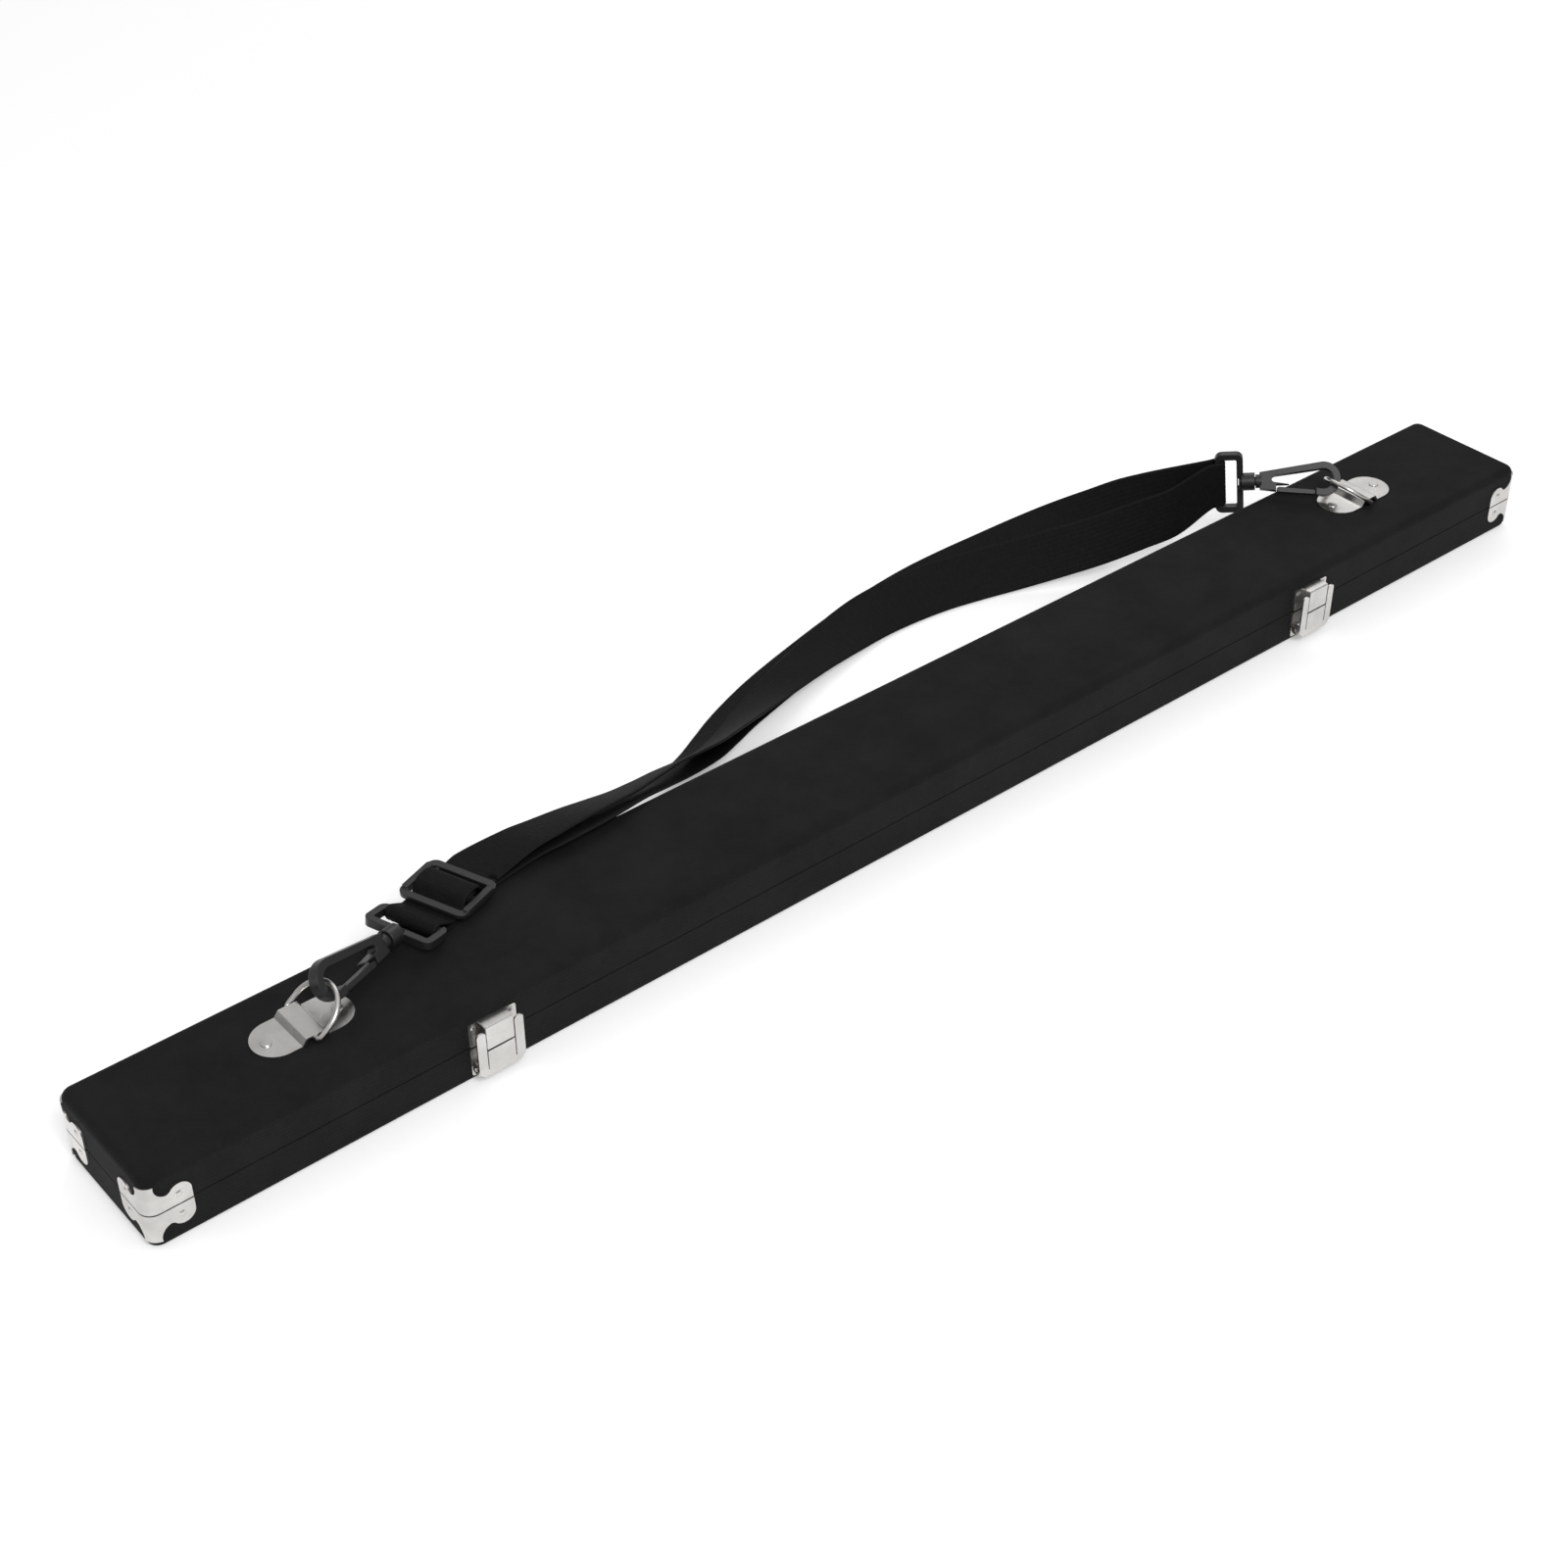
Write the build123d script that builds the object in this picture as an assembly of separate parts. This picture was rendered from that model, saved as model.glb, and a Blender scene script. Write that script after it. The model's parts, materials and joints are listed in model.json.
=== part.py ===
from build123d import *
from math import cos, sin, radians, sqrt
import os

# Slim wooden case for violin bows, cloth covered, with two pressed-metal latches, corner plates
# and a shoulder strap clipped to two rings on the lid. Millimetres, +Z up, +X along the case,
# -Y is the latch side. The origin is the middle of the underside.

# Overall sizes
CASE_LENGTH = 780.0
CASE_WIDTH = 64.0
BASE_HEIGHT = 17.0
LID_HEIGHT = 17.5

# Shell, cloth and lining
COVER = 0.8
WALL = 4.0
PANEL = 3.0
LINING = 1.5
CORNER_R = 5.0
BOTTOM_R = 2.5
TOP_R = 4.0
RIM_GAP = 0.5
RIM_STRIP = 1.5
RIM_ABOVE = 3.0
RIM_BELOW = 6.5
FIT = 0.3

# Hinges
HINGE_X = (-260.0, 0.0, 260.0)
HINGE_LENGTH = 26.0
LEAF = 0.7
LEAF_REACH = 9.5
KNUCKLE_R = 1.9
KNUCKLE_GAP = 0.2
HINGE_PIN_R = 0.9
PIN_FIT = 0.05

# Latches
LATCH_X = {"left": -241.0, "right": 232.5}
PLATE = 0.8
PLATE_W = 22.0
KEEPER_TOP = 28.8
BASE_PLATE_FOOT = 3.0
LEVER_W = 21.5
LEVER_FOOT = 4.5
LEVER_TOP = 27.0
LEVER_OUT = 6.0
LEVER_R = 4.0
TAB_W = 12.4
SLIT = 0.5
PIVOT_OUT = 2.6
PIVOT_Z = 7.5
LATCH_PIN_R = 0.9
LUG_IN = 9.1

# Corner plates
SHEET = 0.7
REACH = 18.6
CORNER_TALL = 13.5
NAIL_AT = (13.2, 5.0)
NAIL_HEAD_R = 1.5
NAIL_HEAD = 0.6

# Strap plates and rings on the lid
STRAP_PLATE_X = 303.0
STRAP_PLATE_Y = 2.0
STRAP_PLATE = (43.0, 21.0, 0.9)
BRIDGE_HALF = 4.0
RIVET_OFF = 15.5
RIVET_R = 2.3
RIVET_HEAD = 0.5
RING_WIRE_R = 1.1
RING_HALF = 12.0
RING_LEG = 6.5
RING_LEAN = 52.0
RING_BEND = 2.0

# Snap hooks
HOOK_OUT_R = 8.4
HOOK_IN_R = 5.0
HOOK_THICK = 5.0
HOOK_SEAT = 2.0
HOOK_ROLL = {"left": 57.0, "right": 51.0}
NECK_HALF = 4.2
GATE_PIVOT = (21.4, -4.7)
GATE_TIP = (5.1, -6.4)
HOOK_WAY = {
    "left": Vector(0.935, 0.322, -0.15).normalized(),
    "right": Vector(-0.667, 0.736, -0.115).normalized(),
}
HOOK_NECK = 31.0
BARREL = (33.0, 40.0)
BARREL_R = 4.4
POST_R = 2.2
LOOP_BAR = 51.0
LOOP_BAR_R = 1.8
LOOP_HALF = 16.5
SLOT_HALF = 13.3

# Strap and slider
STRAP_W = 25.0
STRAP_T = 1.3
STRAP_CLEAR = 0.35
SLIDER_GAP = 22.5
SLIDER_TURN = 20.0
SLIDER_HALF = (12.5, 16.6)
SLIDER_BAR = 3.4
SLIDER_T = 2.0
RAIL_T = 3.4
LEFT_LEAD = 18.0
RIGHT_LEAVE = Vector(-0.90, 0.43, 0)

# Stations of the two layers of webbing behind the case: x, y, z and the lean from upright
UNDER_LAYER = [
    (-178, 36.5, 36.1, 100), (-148, 35, 34.5, 115), (-120, 40, 29.5, 126),
    (-90, 51.7, 19, 123), (-60, 67.4, 9.2, 112), (-30, 84, 4.0, 101), (0, 96, 1.9, 92),
    (35, 105.6, 1.8, 89), (75, 112.2, 3.6, 83), (115, 113.5, 5.9, 72), (155, 109, 8.4, 58),
    (193, 98, 15.5, 42), (222, 78, 28, 26),
]
OVER_LAYER = [
    (-178, 38, 39.3, 102), (-148, 40.5, 37.0, 113), (-120, 45, 31.6, 122),
    (-90, 53, 25.7, 130), (-60, 61.5, 17.6, 132), (-30, 75.4, 10.9, 122), (0, 89.4, 6.0, 106),
    (35, 100, 5.4, 88), (75, 105, 8.4, 58), (115, 100.6, 10.8, 41), (155, 88.6, 12.8, 34),
    (193, 70, 20.5, 28), (227, 53, 31, 14),
]

# Fittings inside
REST_X = {"left": -150.0, "right": 150.0}
REST_SIZE = (16.0, 9.0)
STICK_R = 5.0
STICK_Y = 13.0
FROG_BLOCK = (95.0, 10.0)
TIP_BLOCK = (60.0, 8.0)
FROG_NOTCH = (8.0, 4.0)
TIP_NOTCH = (5.0, 3.0)
CLIP = (40.0, 7.0, 2.4)
SCREW_R = 1.6

# Places worked out from the sizes above
SPLIT = BASE_HEIGHT
HEIGHT = BASE_HEIGHT + LID_HEIGHT
BACK = CASE_WIDTH / 2
FRONT = -CASE_WIDTH / 2
END = CASE_LENGTH / 2
BASE_RIM = SPLIT - RIM_GAP / 2
LID_RIM = SPLIT + RIM_GAP / 2
HINGE_Y = BACK + KNUCKLE_R + 0.1
FLOOR = COVER + PANEL + LINING
CEILING = HEIGHT - COVER - PANEL - LINING
RIM_LOW = SPLIT - RIM_BELOW
RIM_TOP = SPLIT + RIM_ABOVE
INNER_W = CASE_WIDTH - 2 * (COVER + WALL)
INNER_L = CASE_LENGTH - 2 * (COVER + WALL)
ROOM_HALF = INNER_W / 2 - RIM_STRIP - 2 * FIT
ROOM_END = INNER_L / 2 - RIM_STRIP - 2 * FIT
WRAP = STRAP_CLEAR + STRAP_T / 2
SLIDER_Z = HEIGHT + WRAP + 3.7
LAYER = SLIDER_T / 2 + WRAP
SIDES = {"left": -1, "right": 1}


def block(x0, x1, y0, y1, z0, z1):
    """A box between two corners."""
    size = (x1 - x0, y1 - y0, z1 - z0)
    return Pos((x0 + x1) / 2, (y0 + y1) / 2, (z0 + z1) / 2) * Box(*size)


def upright(length, width, low, high, radius):
    """A box centred on the origin with rounded upright edges."""
    body = block(-length / 2, length / 2, -width / 2, width / 2, low, high)
    return fillet(body.edges().filter_by(Axis.Z), radius)


def turned_edge(body, high, radius):
    """The same body with its top or bottom rim rounded."""
    faces = body.faces().sort_by(Axis.Z)
    rim = faces[-1] if high else faces[0]
    return fillet(rim.edges(), radius)


def half_case(low, high, inset, is_lid):
    """The outer form of the base or the lid, drawn in by an inset."""
    radius = CORNER_R - inset
    edge = (TOP_R if is_lid else BOTTOM_R) - inset
    if is_lid:
        body = upright(CASE_LENGTH - 2 * inset, CASE_WIDTH - 2 * inset, low, high - inset, radius)
    else:
        body = upright(CASE_LENGTH - 2 * inset, CASE_WIDTH - 2 * inset, low + inset, high, radius)
    return turned_edge(body, is_lid, edge)


def tray(is_lid):
    """Cloth cover, wooden shell and plush lining of one half."""
    low, high = (LID_RIM, HEIGHT) if is_lid else (0.0, BASE_RIM)
    outside = half_case(low, high, 0.0, is_lid)
    wood = half_case(low, high, COVER, is_lid)
    if is_lid:
        hollow = upright(INNER_L, INNER_W, low, high - COVER - PANEL, FIT + RIM_STRIP)
        plush_low, plush_high = RIM_TOP + FIT, high - COVER - PANEL
        room_low, room_high = plush_low, CEILING
    else:
        hollow = upright(INNER_L, INNER_W, COVER + PANEL, high, FIT + RIM_STRIP)
        plush_low, plush_high = COVER + PANEL, RIM_LOW - FIT
        room_low, room_high = FLOOR, plush_high
    plush = upright(INNER_L, INNER_W, plush_low, plush_high, FIT + RIM_STRIP)
    room = block(
        LINING - INNER_L / 2, INNER_L / 2 - LINING,
        LINING - INNER_W / 2, INNER_W / 2 - LINING,
        room_low, room_high,
    )
    return outside - wood, wood - hollow, plush - room


def rim_strip():
    """The strip inside the base that the lid closes over."""
    length, width = INNER_L - 2 * FIT, INNER_W - 2 * FIT
    outer = upright(length, width, RIM_LOW, RIM_TOP, RIM_STRIP)
    inner = block(
        RIM_STRIP - length / 2, length / 2 - RIM_STRIP,
        RIM_STRIP - width / 2, width / 2 - RIM_STRIP,
        RIM_LOW, RIM_TOP,
    )
    return outer - inner


def rod(p, q, radius):
    """A round bar from one point to another."""
    start, way = Vector(*p), Vector(*q) - Vector(*p)
    return Plane(start, z_dir=way).location * Cylinder(
        radius, way.length, align=(Align.CENTER, Align.CENTER, Align.MIN)
    )


def hinge(x):
    """Two leaves and the pin of one butt hinge on the back."""
    step = HINGE_LENGTH / 3
    spans = [(x - HINGE_LENGTH / 2 + step * i, x - HINGE_LENGTH / 2 + step * (i + 1)) for i in range(3)]
    leaves = []
    for is_lid in (False, True):
        sign = 1 if is_lid else -1
        near, far = SPLIT + sign * (KNUCKLE_R + FIT), SPLIT + sign * (KNUCKLE_R + LEAF_REACH)
        low, high = min(near, far), max(near, far)
        leaf = block(x - HINGE_LENGTH / 2, x + HINGE_LENGTH / 2, BACK, BACK + LEAF, low, high)
        for i, (a, b) in enumerate(spans):
            if (i == 1) != is_lid:
                continue
            inside_a = a + (KNUCKLE_GAP if i else 0)
            inside_b = b - (KNUCKLE_GAP if i < 2 else 0)
            web_low, web_high = min(SPLIT, near), max(SPLIT, near)
            leaf += block(inside_a, inside_b, BACK + 0.1, BACK + LEAF, web_low, web_high)
            leaf += rod((inside_a, HINGE_Y, SPLIT), (inside_b, HINGE_Y, SPLIT), KNUCKLE_R)
        bore = HINGE_PIN_R + PIN_FIT
        leaf -= rod((x - HINGE_LENGTH, HINGE_Y, SPLIT), (x + HINGE_LENGTH, HINGE_Y, SPLIT), bore)
        leaves.append(leaf)
    pin = rod(
        (x - HINGE_LENGTH / 2 - 0.6, HINGE_Y, SPLIT),
        (x + HINGE_LENGTH / 2 + 0.6, HINGE_Y, SPLIT), HINGE_PIN_R,
    )
    return leaves[0], leaves[1], pin


def hinge_screws(is_lid):
    """Domed screw heads, two on each leaf."""
    z = SPLIT + (1 if is_lid else -1) * (KNUCKLE_R + LEAF_REACH * 0.62)
    return [
        Pos(x + dx, BACK + LEAF, z) * Rot(-90, 0, 0) * dome(1.4, 0.5)
        for x in HINGE_X for dx in (-HINGE_LENGTH * 0.32, HINGE_LENGTH * 0.32)
    ]


def dome(radius, height):
    """A shallow domed head standing on the XY plane."""
    ball = (radius * radius + height * height) / (2 * height)
    cap = Pos(0, 0, height - ball) * Sphere(ball)
    return cap & Cylinder(radius, height, align=(Align.CENTER, Align.CENTER, Align.MIN))


def rivet(radius, height):
    """A flat rivet head with a bevelled rim, standing on the XY plane."""
    head = Cylinder(radius, height, align=(Align.CENTER, Align.CENTER, Align.MIN))
    return chamfer(head.edges().group_by(Axis.Z)[-1], height / 3)


def front_outline(sketch, near, far):
    """A sketch in X and Z made solid between two distances in front of the case."""
    plane = Plane((0, FRONT - near, 0), x_dir=(1, 0, 0), z_dir=(0, -1, 0))
    return extrude(plane * sketch, far - near)


def keeper():
    """The lid's half of a latch: an eared plate whose folded tongue hangs in front."""
    foot = SPLIT + 0.4
    plate = Pos(0, (foot + KEEPER_TOP) / 2) * RectangleRounded(PLATE_W, KEEPER_TOP - foot, 1.2)
    body = front_outline(plate, 0, PLATE)
    tongue = Polyline(
        (0.0, KEEPER_TOP - PLATE), (LEVER_OUT - PLATE, KEEPER_TOP - PLATE),
        (LEVER_OUT - PLATE, foot + PLATE + 0.2), (LEVER_OUT - 2.4, foot + PLATE + 0.2),
        (LEVER_OUT - 2.4, foot + 0.2), (LEVER_OUT - 0.1, foot + 0.2),
        (LEVER_OUT - 0.1, KEEPER_TOP), (0.0, KEEPER_TOP), close=True,
    )
    side = Plane((TAB_W / 2, FRONT, 0), x_dir=(0, -1, 0), z_dir=(-1, 0, 0))
    bent = extrude(side * make_face(tongue), TAB_W)
    brow = [e for e in bent.edges().filter_by(Axis.X) if e.center().Z > KEEPER_TOP - 0.01]
    bent = fillet([min(brow, key=lambda e: e.center().Y)], 0.6)
    return body + bent


def latch_base():
    """The base's half of a latch: a plate with two lugs for the lever's pin."""
    top = SPLIT - 0.4
    plate = Pos(0, (BASE_PLATE_FOOT + top) / 2) * RectangleRounded(PLATE_W, top - BASE_PLATE_FOOT, 1.2)
    body = front_outline(plate, 0, PLATE)
    for sign in (-1, 1):
        x0, x1 = sorted((sign * LUG_IN, sign * (LUG_IN + 0.7)))
        lug = block(x0, x1, FRONT - PIVOT_OUT, FRONT - PLATE, PIVOT_Z - 1.8, PIVOT_Z + 1.8)
        lug += rod((x0, FRONT - PIVOT_OUT, PIVOT_Z), (x1, FRONT - PIVOT_OUT, PIVOT_Z), 1.8)
        body += lug
    return body - pin_way(LATCH_PIN_R + PIN_FIT)


def pin_way(radius):
    """The lever pin's place, at any radius."""
    reach = LEVER_W / 2 + 0.4
    return rod((-reach, FRONT - PIVOT_OUT, PIVOT_Z), (reach, FRONT - PIVOT_OUT, PIVOT_Z), radius)


def lever():
    """The sprung frame that closes round the tongue, with its own lower tab and side cheeks."""
    half = LEVER_W / 2
    slot = TAB_W / 2 + SLIT
    middle = SPLIT - 0.2
    with BuildSketch() as face:
        with BuildLine():
            Polyline(
                (-half, LEVER_FOOT), (half, LEVER_FOOT), (half, LEVER_TOP), (slot, LEVER_TOP),
                (slot, middle), (-slot, middle), (-slot, LEVER_TOP), (-half, LEVER_TOP), close=True,
            )
        make_face()
        low = face.vertices().group_by(Axis.Y)[0]
        fillet(low, LEVER_R)
        high = face.vertices().group_by(Axis.Y)[-1]
        fillet(high, 1.6)
        for sign in (-1, 1):
            with Locations((sign * (slot - SLIT / 2), (middle + LEVER_FOOT + 3.4) / 2)):
                Rectangle(SLIT, middle - LEVER_FOOT - 3.4 + 0.01, mode=Mode.SUBTRACT)
    body = front_outline(face.sketch, LEVER_OUT - PLATE, LEVER_OUT)
    lip = block(
        -TAB_W / 2, TAB_W / 2, FRONT - LEVER_OUT + PLATE, FRONT - LEVER_OUT + 2.4, middle - PLATE, middle
    )
    body += lip
    for sign in (-1, 1):
        x0, x1 = sorted((sign * (half - 0.75), sign * half))
        cheek = block(x0, x1, FRONT - LEVER_OUT + PLATE, FRONT - PIVOT_OUT, PIVOT_Z - 1.8, PIVOT_Z + 3.5)
        cheek += rod((x0, FRONT - PIVOT_OUT, PIVOT_Z), (x1, FRONT - PIVOT_OUT, PIVOT_Z), 1.8)
        body += cheek
    return body - pin_way(LATCH_PIN_R + PIN_FIT)


def corner_outline():
    """One face of a corner plate: u runs from the corner, v up from the split."""
    gap = RIM_GAP / 2 + 0.05
    line = [
        Line((-2, gap), (-2, CORNER_TALL)),
        Line((-2, CORNER_TALL), (4.2, CORNER_TALL)),
        ThreePointArc((4.2, CORNER_TALL), (5.2, 9.0), (8.6, 7.0)),
        Line((8.6, 7.0), (9.9, 7.6)),
        ThreePointArc((9.9, 7.6), (14.6, 9.7), (REACH, 5.2)),
        Line((REACH, 5.2), (REACH, gap)),
        Line((REACH, gap), (-2, gap)),
    ]
    face = make_face(line)
    return face - Pos(*NAIL_AT) * Circle(0.7)


def corner_plate(x_side, y_side, is_lid):
    """A pressed plate bent round one upright corner, on one side of the split."""
    low, high = (SPLIT, SPLIT + CORNER_TALL) if is_lid else (SPLIT - CORNER_TALL, SPLIT)
    outer = upright(CASE_LENGTH + 2 * SHEET, CASE_WIDTH + 2 * SHEET, low, high, CORNER_R + SHEET)
    inner = upright(CASE_LENGTH, CASE_WIDTH, low, high, CORNER_R)
    x0, x1 = sorted((x_side * (END - REACH), x_side * (END + SHEET)))
    y0, y1 = sorted((y_side * (BACK - REACH), y_side * (BACK + SHEET)))
    band = (outer - inner) & block(x0, x1, y0, y1, low, high)
    up = 1 if is_lid else -1
    long_face = Plane((x_side * END, 0, SPLIT), x_dir=(-x_side, 0, 0), z_dir=(0, x_side * up, 0))
    end_face = Plane((0, y_side * BACK, SPLIT), x_dir=(0, -y_side, 0), z_dir=(-y_side * up, 0, 0))
    shape = corner_outline()
    band = band & extrude(long_face * shape, CASE_WIDTH, both=True)
    return band & extrude(end_face * shape, CASE_LENGTH, both=True)


def corner_nails(is_lid):
    """Nail heads on the four plates of one half, with their shanks through the sheet."""
    up = 1 if is_lid else -1
    u, v = NAIL_AT
    nail = Pos(0, 0, SHEET) * dome(NAIL_HEAD_R, NAIL_HEAD)
    nail += Cylinder(0.65, SHEET, align=(Align.CENTER, Align.CENTER, Align.MIN))
    nails = []
    for x_side in (-1, 1):
        for y_side in (-1, 1):
            z = SPLIT + up * v
            nails.append(Pos(x_side * (END - u), y_side * BACK, z) * Rot(-90 * y_side, 0, 0) * nail)
            nails.append(Pos(x_side * END, y_side * (BACK - u), z) * Rot(0, 90 * x_side, 0) * nail)
    return nails


def latch_nails(is_lid):
    """Heads of the rivets that hold the latch plates."""
    z = KEEPER_TOP - 2.1 if is_lid else BASE_PLATE_FOOT + 2.4
    across = PLATE_W / 2 - 2.2 if is_lid else PLATE_W / 2 - 4.5
    return [
        Pos(x + sign * across, FRONT - PLATE, z) * Rot(90, 0, 0) * dome(1.2, 0.45)
        for x in LATCH_X.values() for sign in (-1, 1)
    ]


def strap_plate(x):
    """An oval plate with a raised bridge that traps the ring."""
    length, width, thick = STRAP_PLATE
    rise = thick + 2 * RING_WIRE_R + FIT + 0.2
    half, foot = BRIDGE_HALF, BRIDGE_HALF + 2.0
    profile = Polyline(
        (-length / 2, 0), (-foot + 0.4, 0), (-half + thick, rise - thick), (half - thick, rise - thick),
        (foot - 0.4, 0), (length / 2, 0), (length / 2, thick), (foot, thick), (half, rise),
        (-half, rise), (-foot, thick), (-length / 2, thick), close=True,
    )
    side = Plane((0, width / 2, 0), x_dir=(1, 0, 0), z_dir=(0, -1, 0))
    bent = extrude(side * make_face(profile), width)
    edges = [e for e in bent.edges().filter_by(Axis.Y) if e.center().Z > rise - 0.1]
    bent = fillet(edges, 0.8)
    oval = extrude(SlotOverall(length, width), 2 * rise)
    return Pos(x, STRAP_PLATE_Y, HEIGHT) * (bent & oval)


def ring_frame(side):
    """Origin, lean direction and axis of a ring; its bow leans towards the middle of the case."""
    sign = SIDES[side]
    origin = Vector(sign * STRAP_PLATE_X, STRAP_PLATE_Y, HEIGHT + RING_WIRE_R + FIT)
    lean = radians(RING_LEAN)
    return origin, Vector(-sign * sin(lean), 0, cos(lean))


def ring(side):
    """A D-shaped wire ring whose straight bar lies under the bridge."""
    r = RING_HALF
    c = RING_BEND
    wire = Wire([
        Line((-(r - c), 0), (r - c, 0)).edge(),
        CenterArc((r - c, c), c, -90, 90).edge(),
        Line((r, c), (r, RING_LEG)).edge(),
        CenterArc((0, RING_LEG), r, 0, 180).edge(),
        Line((-r, RING_LEG), (-r, c)).edge(),
        CenterArc((-(r - c), c), c, 180, 90).edge(),
    ])
    origin, lean = ring_frame(side)
    plane = Plane(origin, x_dir=(0, 1, 0), z_dir=Vector(0, 1, 0).cross(lean))
    start = Plane((0, 0, 0), z_dir=(1, 0, 0))
    solid = sweep(start * Circle(RING_WIRE_R), path=wire)
    return plane.location * solid


def hook_nose(side):
    """Centre of the hook's mouth: its nose takes the ring where the bow faces along the hook."""
    origin, lean = ring_frame(side)
    way = HOOK_WAY[side]
    run = abs(lean.X)
    length = sqrt((way.Y * run) ** 2 + way.X ** 2)
    s, c = way.Y * run / length, abs(way.X) / length
    touch = origin + lean * (RING_LEG + RING_HALF * c) + Vector(0, 1, 0) * (RING_HALF * s)
    return touch + way * HOOK_SEAT


def hook_plane(side):
    """Local frame of a hook: x along it, y towards its spine, z square to its flat side."""
    way = HOOK_WAY[side]
    level = Vector(way.Y, -way.X, 0).normalized()
    level = level if level.Y < 0 else -level
    up = way.cross(level)
    up = up if up.Z > 0 else -up
    roll = radians(HOOK_ROLL[side])
    square = up * cos(roll) + level * sin(roll)
    square = square if square.cross(way).Z > 0 else -square
    return Plane(hook_nose(side), x_dir=way, z_dir=square)


def hook_body(side):
    """The moulded hook: spine, curled nose and the post that turns in the barrel."""
    outer = make_hull([
        *Circle(HOOK_OUT_R).edges(),
        *(Pos(HOOK_NECK - 1, 0) * Rectangle(2, 2 * NECK_HALF)).edges(),
    ])
    mouth = make_hull([
        *Circle(HOOK_IN_R).edges(),
        *(Pos(HOOK_NECK - 7.5, 0.6) * Circle(1.6)).edges(),
    ])
    gate_way = Pos(13.2, -7.2) * Rectangle(19.4, 10.0)
    face = outer - mouth - gate_way
    body = extrude(face, HOOK_THICK / 2, both=True)
    body += rod((HOOK_NECK - 1, 0, 0), (BARREL[0], 0, 0), 3.4)
    body += rod((BARREL[0] - 1, 0, 0), (BARREL[1] + 0.3, 0, 0), POST_R)
    body += rod((BARREL[1] + 0.2, 0, 0), (BARREL[1] + 1.2, 0, 0), POST_R + 0.9)
    return hook_plane(side).location * body


def hook_gate(side):
    """The sprung gate that closes the mouth, hinged beside the neck."""
    bar = make_hull([
        *(Pos(*GATE_PIVOT) * Circle(1.3)).edges(),
        *(Pos(*GATE_TIP) * Circle(1.2)).edges(),
    ])
    body = extrude(bar, HOOK_THICK / 2 - 0.6, both=True)
    return hook_plane(side).location * body


def hook_loop(side):
    """The barrel and the square eye that the webbing passes through."""
    frame = hook_plane(side)
    bar = bar_way(side)
    local = Plane(frame.origin, x_dir=frame.x_dir, z_dir=frame.x_dir.cross(bar))
    inner = BARREL[0] + 6.0
    outline = Pos((inner + LOOP_BAR + LOOP_BAR_R) / 2, 0) * RectangleRounded(
        LOOP_BAR + LOOP_BAR_R - inner, 2 * LOOP_HALF, 3.5
    )
    slot = Pos((BARREL[1] + 2.2 + LOOP_BAR - LOOP_BAR_R) / 2, 0) * RectangleRounded(
        LOOP_BAR - LOOP_BAR_R - BARREL[1] - 2.2, 2 * SLOT_HALF, 0.8
    )
    window = Pos(LOOP_BAR, 0) * Rectangle(2 * LOOP_BAR_R + 0.02, 2 * SLOT_HALF)
    body = extrude(outline - slot - window, LOOP_BAR_R, both=True)
    body += rod((LOOP_BAR, -SLOT_HALF - 1, 0), (LOOP_BAR, SLOT_HALF + 1, 0), LOOP_BAR_R)
    body += rod((BARREL[0] + 0.3, 0, 0), (BARREL[1], 0, 0), BARREL_R)
    body -= rod((BARREL[0] - 1, 0, 0), (BARREL[1] + 0.1, 0, 0), POST_R + PIN_FIT)
    body -= rod((BARREL[1], 0, 0), (BARREL[1] + 1.6, 0, 0), POST_R + 1.2)
    return local.location * body


def bar_way(side):
    """Direction of the bar that the webbing wraps: level on the left, upright on the right."""
    way = HOOK_WAY[side]
    raw = Vector(-way.Y, way.X, 0) if side == "left" else Vector(0, 0, 1)
    return (raw - way * raw.dot(way)).normalized()


def bar_centre(side):
    """Middle of the bar that the webbing wraps."""
    return hook_nose(side) + HOOK_WAY[side] * LOOP_BAR


def slider_point(along, up):
    """A point on the slider's middle line, from its centre bar."""
    a = radians(SLIDER_TURN)
    bar = bar_centre("left")
    reach = SLIDER_GAP + along
    return Vector(bar.X + reach * cos(a), bar.Y + reach * sin(a), SLIDER_Z + up)


def smooth(points, extra):
    """Points of a smooth curve through the given tuples, with extra ones between each two."""
    out = []
    for i in range(len(points) - 1):
        before, after = points[max(i - 1, 0)], points[min(i + 2, len(points) - 1)]
        p, q = points[i], points[i + 1]
        for k in range(extra + 1):
            t = k / (extra + 1)
            row = []
            for a, b, c, d in zip(before, p, q, after):
                m, n = (c - a) / 2, (d - b) / 2
                row.append(
                    (2 * t**3 - 3 * t**2 + 1) * b + (t**3 - 2 * t**2 + t) * m
                    + (3 * t**2 - 2 * t**3) * c + (t**3 - t**2) * n
                )
            out.append(tuple(row))
    out.append(tuple(points[-1]))
    return out


def run_stations(rows, extra=1):
    """Stations of a free run as points with width directions."""
    return [
        (Vector(x, y, z), Vector(0, sin(radians(a)), cos(radians(a))))
        for x, y, z, a in smooth(rows, extra)
    ]


def turn_stations(centre, axis, start, radius, sweep_angle, steps):
    """Stations round a bar: start is the direction from the bar to the first point."""
    other = axis.cross(start)
    out = []
    for i in range(steps + 1):
        a = radians(sweep_angle) * i / steps
        out.append((centre + start * (radius * cos(a)) + other * (radius * sin(a)), axis))
    return out


def slider_wrap(flat):
    """The sewn end over the centre bar, round it and away underneath."""
    radius = WRAP + SLIDER_T / 2 * sqrt(2)
    wrap = [(slider_point(1.8, radius), flat)]
    wrap += turn_stations(slider_point(0, 0), flat, Vector(0, 0, 1), radius, -180, 6)
    away = ((4.0, -3.0), (7.5, -3.7), (11.5, -3.7), (16.0, -3.6))
    return wrap + [(slider_point(s, z), flat) for s, z in away]


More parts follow.
